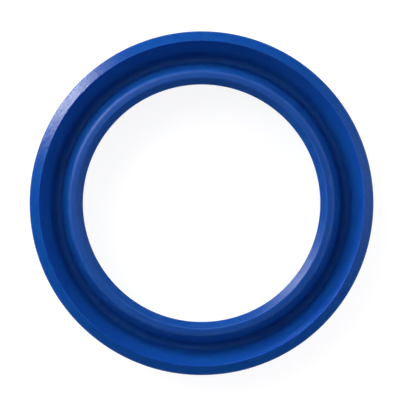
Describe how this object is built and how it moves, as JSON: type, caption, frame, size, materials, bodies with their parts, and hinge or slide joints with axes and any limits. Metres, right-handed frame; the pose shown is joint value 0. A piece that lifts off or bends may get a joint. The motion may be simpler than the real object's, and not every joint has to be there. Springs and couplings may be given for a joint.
{
  "type": "u cup seal",
  "caption": "Ring-shaped lip seal with a U-shaped section: solid heel, bevelled inner and outer lips and a deep groove between them.",
  "frame": {"origin": "on the seal's axis, in the plane of the heel's back face", "axes": "+Z along the seal's axis, out of the groove's open side; X and Y are any two radial directions, because the ring is round"},
  "size_m": [0.0712, 0.0712, 0.012],
  "materials": {
    "polyurethane": "satin"
  },
  "bodies": {
    "root": {"seal_ring": "polyurethane"}
  },
  "joints": []
}
